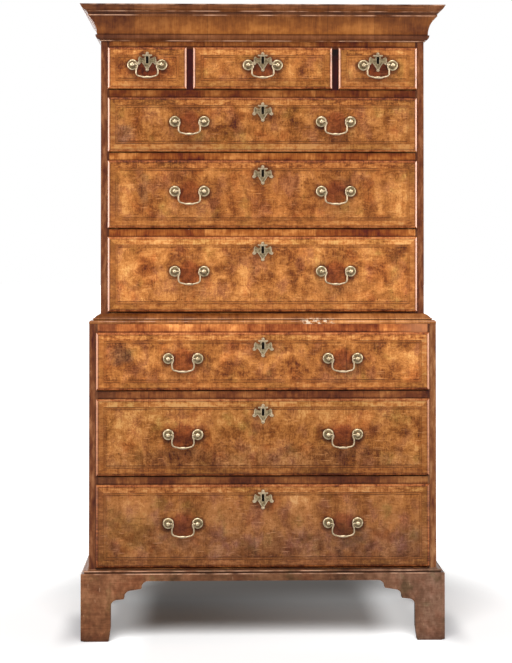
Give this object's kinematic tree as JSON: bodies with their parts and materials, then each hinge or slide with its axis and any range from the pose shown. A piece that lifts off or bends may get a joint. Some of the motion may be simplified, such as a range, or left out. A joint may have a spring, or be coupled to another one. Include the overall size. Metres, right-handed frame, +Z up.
{
  "type": "chest-on-chest",
  "caption": "Walnut chest-on-chest on bracket feet: graduated lip-moulded drawers that slide, brass bails that swing, pierced escutcheons and a cavetto cornice.",
  "frame": {"origin": "on the floor, under the middle of the bounding box", "axes": "+Z up, -Y out of the drawer fronts, +X to the right when facing the drawers"},
  "size_m": [1.02, 0.5428, 1.771],
  "materials": {
    "walnut": "waxed",
    "oak": "bare",
    "pine": "bare, aged",
    "brass": "worn"
  },
  "bodies": {
    "case": {"upper_sides": "walnut", "upper_top_board": "pine", "upper_bottom_board": "pine", "upper_rails": "walnut", "upper_partitions": "walnut", "upper_dust_frames": "pine", "upper_backboards": "pine", "cornice": "walnut", "lower_sides": "walnut", "lower_top_board": "pine", "lower_bottom_board": "pine", "lower_rails": "walnut", "lower_dust_frames": "pine", "lower_backboards": "pine", "waist_moulding": "walnut", "base_moulding": "walnut", "front_bracket_feet": "walnut", "rear_bracket_feet": "walnut"},
    "left_short_drawer": {"left_short_drawer_front": "walnut", "left_short_drawer_box": "oak", "left_short_drawer_brasses": "brass"},
    "left_short_drawer_bail": {"left_short_drawer_bail": "brass"},
    "middle_short_drawer": {"middle_short_drawer_front": "walnut", "middle_short_drawer_box": "oak", "middle_short_drawer_brasses": "brass"},
    "middle_short_drawer_bail": {"middle_short_drawer_bail": "brass"},
    "right_short_drawer": {"right_short_drawer_front": "walnut", "right_short_drawer_box": "oak", "right_short_drawer_brasses": "brass"},
    "right_short_drawer_bail": {"right_short_drawer_bail": "brass"},
    "upper_drawer_1": {"upper_drawer_1_front": "walnut", "upper_drawer_1_box": "oak", "upper_drawer_1_brasses": "brass"},
    "upper_drawer_1_left_bail": {"upper_drawer_1_left_bail": "brass"},
    "upper_drawer_1_right_bail": {"upper_drawer_1_right_bail": "brass"},
    "upper_drawer_2": {"upper_drawer_2_front": "walnut", "upper_drawer_2_box": "oak", "upper_drawer_2_brasses": "brass"},
    "upper_drawer_2_left_bail": {"upper_drawer_2_left_bail": "brass"},
    "upper_drawer_2_right_bail": {"upper_drawer_2_right_bail": "brass"},
    "upper_drawer_3": {"upper_drawer_3_front": "walnut", "upper_drawer_3_box": "oak", "upper_drawer_3_brasses": "brass"},
    "upper_drawer_3_left_bail": {"upper_drawer_3_left_bail": "brass"},
    "upper_drawer_3_right_bail": {"upper_drawer_3_right_bail": "brass"},
    "lower_drawer_1": {"lower_drawer_1_front": "walnut", "lower_drawer_1_box": "oak", "lower_drawer_1_brasses": "brass"},
    "lower_drawer_1_left_bail": {"lower_drawer_1_left_bail": "brass"},
    "lower_drawer_1_right_bail": {"lower_drawer_1_right_bail": "brass"},
    "lower_drawer_2": {"lower_drawer_2_front": "walnut", "lower_drawer_2_box": "oak", "lower_drawer_2_brasses": "brass"},
    "lower_drawer_2_left_bail": {"lower_drawer_2_left_bail": "brass"},
    "lower_drawer_2_right_bail": {"lower_drawer_2_right_bail": "brass"},
    "lower_drawer_3": {"lower_drawer_3_front": "walnut", "lower_drawer_3_box": "oak", "lower_drawer_3_brasses": "brass"},
    "lower_drawer_3_left_bail": {"lower_drawer_3_left_bail": "brass"},
    "lower_drawer_3_right_bail": {"lower_drawer_3_right_bail": "brass"}
  },
  "joints": [
    {"name": "left_short_drawer_slide", "type": "slide", "parent": "case", "child": "left_short_drawer", "axis": [0, -1, 0], "range_m": [0, 0.36]},
    {"name": "left_short_drawer_bail_swing", "type": "hinge", "parent": "left_short_drawer", "child": "left_short_drawer_bail", "pos_m": [-0.32475, -0.2344, 1.6055], "axis": [-1, 0, 0], "range_deg": [-12, 180]},
    {"name": "middle_short_drawer_slide", "type": "slide", "parent": "case", "child": "middle_short_drawer", "axis": [0, -1, 0], "range_m": [0, 0.36]},
    {"name": "middle_short_drawer_bail_swing", "type": "hinge", "parent": "middle_short_drawer", "child": "middle_short_drawer_bail", "pos_m": [0, -0.2344, 1.6055], "axis": [-1, 0, 0], "range_deg": [-12, 180]},
    {"name": "right_short_drawer_slide", "type": "slide", "parent": "case", "child": "right_short_drawer", "axis": [0, -1, 0], "range_m": [0, 0.36]},
    {"name": "right_short_drawer_bail_swing", "type": "hinge", "parent": "right_short_drawer", "child": "right_short_drawer_bail", "pos_m": [0.32475, -0.2344, 1.6055], "axis": [-1, 0, 0], "range_deg": [-12, 180]},
    {"name": "upper_drawer_1_slide", "type": "slide", "parent": "case", "child": "upper_drawer_1", "axis": [0, -1, 0], "range_m": [0, 0.36]},
    {"name": "upper_drawer_1_left_bail_swing", "type": "hinge", "parent": "upper_drawer_1", "child": "upper_drawer_1_left_bail", "pos_m": [-0.206, -0.2344, 1.44625], "axis": [-1, 0, 0], "range_deg": [-12, 180]},
    {"name": "upper_drawer_1_right_bail_swing", "type": "hinge", "parent": "upper_drawer_1", "child": "upper_drawer_1_right_bail", "pos_m": [0.206, -0.2344, 1.44625], "axis": [-1, 0, 0], "range_deg": [-12, 180]},
    {"name": "upper_drawer_2_slide", "type": "slide", "parent": "case", "child": "upper_drawer_2", "axis": [0, -1, 0], "range_m": [0, 0.36]},
    {"name": "upper_drawer_2_left_bail_swing", "type": "hinge", "parent": "upper_drawer_2", "child": "upper_drawer_2_left_bail", "pos_m": [-0.206, -0.2344, 1.25025], "axis": [-1, 0, 0], "range_deg": [-12, 180]},
    {"name": "upper_drawer_2_right_bail_swing", "type": "hinge", "parent": "upper_drawer_2", "child": "upper_drawer_2_right_bail", "pos_m": [0.206, -0.2344, 1.25025], "axis": [-1, 0, 0], "range_deg": [-12, 180]},
    {"name": "upper_drawer_3_slide", "type": "slide", "parent": "case", "child": "upper_drawer_3", "axis": [0, -1, 0], "range_m": [0, 0.36]},
    {"name": "upper_drawer_3_left_bail_swing", "type": "hinge", "parent": "upper_drawer_3", "child": "upper_drawer_3_left_bail", "pos_m": [-0.206, -0.2344, 1.02525], "axis": [-1, 0, 0], "range_deg": [-12, 180]},
    {"name": "upper_drawer_3_right_bail_swing", "type": "hinge", "parent": "upper_drawer_3", "child": "upper_drawer_3_right_bail", "pos_m": [0.206, -0.2344, 1.02525], "axis": [-1, 0, 0], "range_deg": [-12, 180]},
    {"name": "lower_drawer_1_slide", "type": "slide", "parent": "case", "child": "lower_drawer_1", "axis": [0, -1, 0], "range_m": [0, 0.38]},
    {"name": "lower_drawer_1_left_bail_swing", "type": "hinge", "parent": "lower_drawer_1", "child": "lower_drawer_1_left_bail", "pos_m": [-0.223, -0.2644, 0.78275], "axis": [-1, 0, 0], "range_deg": [-12, 180]},
    {"name": "lower_drawer_1_right_bail_swing", "type": "hinge", "parent": "lower_drawer_1", "child": "lower_drawer_1_right_bail", "pos_m": [0.223, -0.2644, 0.78275], "axis": [-1, 0, 0], "range_deg": [-12, 180]},
    {"name": "lower_drawer_2_slide", "type": "slide", "parent": "case", "child": "lower_drawer_2", "axis": [0, -1, 0], "range_m": [0, 0.38]},
    {"name": "lower_drawer_2_left_bail_swing", "type": "hinge", "parent": "lower_drawer_2", "child": "lower_drawer_2_left_bail", "pos_m": [-0.223, -0.2644, 0.571], "axis": [-1, 0, 0], "range_deg": [-12, 180]},
    {"name": "lower_drawer_2_right_bail_swing", "type": "hinge", "parent": "lower_drawer_2", "child": "lower_drawer_2_right_bail", "pos_m": [0.223, -0.2644, 0.571], "axis": [-1, 0, 0], "range_deg": [-12, 180]},
    {"name": "lower_drawer_3_slide", "type": "slide", "parent": "case", "child": "lower_drawer_3", "axis": [0, -1, 0], "range_m": [0, 0.38]},
    {"name": "lower_drawer_3_left_bail_swing", "type": "hinge", "parent": "lower_drawer_3", "child": "lower_drawer_3_left_bail", "pos_m": [-0.223, -0.2644, 0.3245], "axis": [-1, 0, 0], "range_deg": [-12, 180]},
    {"name": "lower_drawer_3_right_bail_swing", "type": "hinge", "parent": "lower_drawer_3", "child": "lower_drawer_3_right_bail", "pos_m": [0.223, -0.2644, 0.3245], "axis": [-1, 0, 0], "range_deg": [-12, 180]}
  ]
}
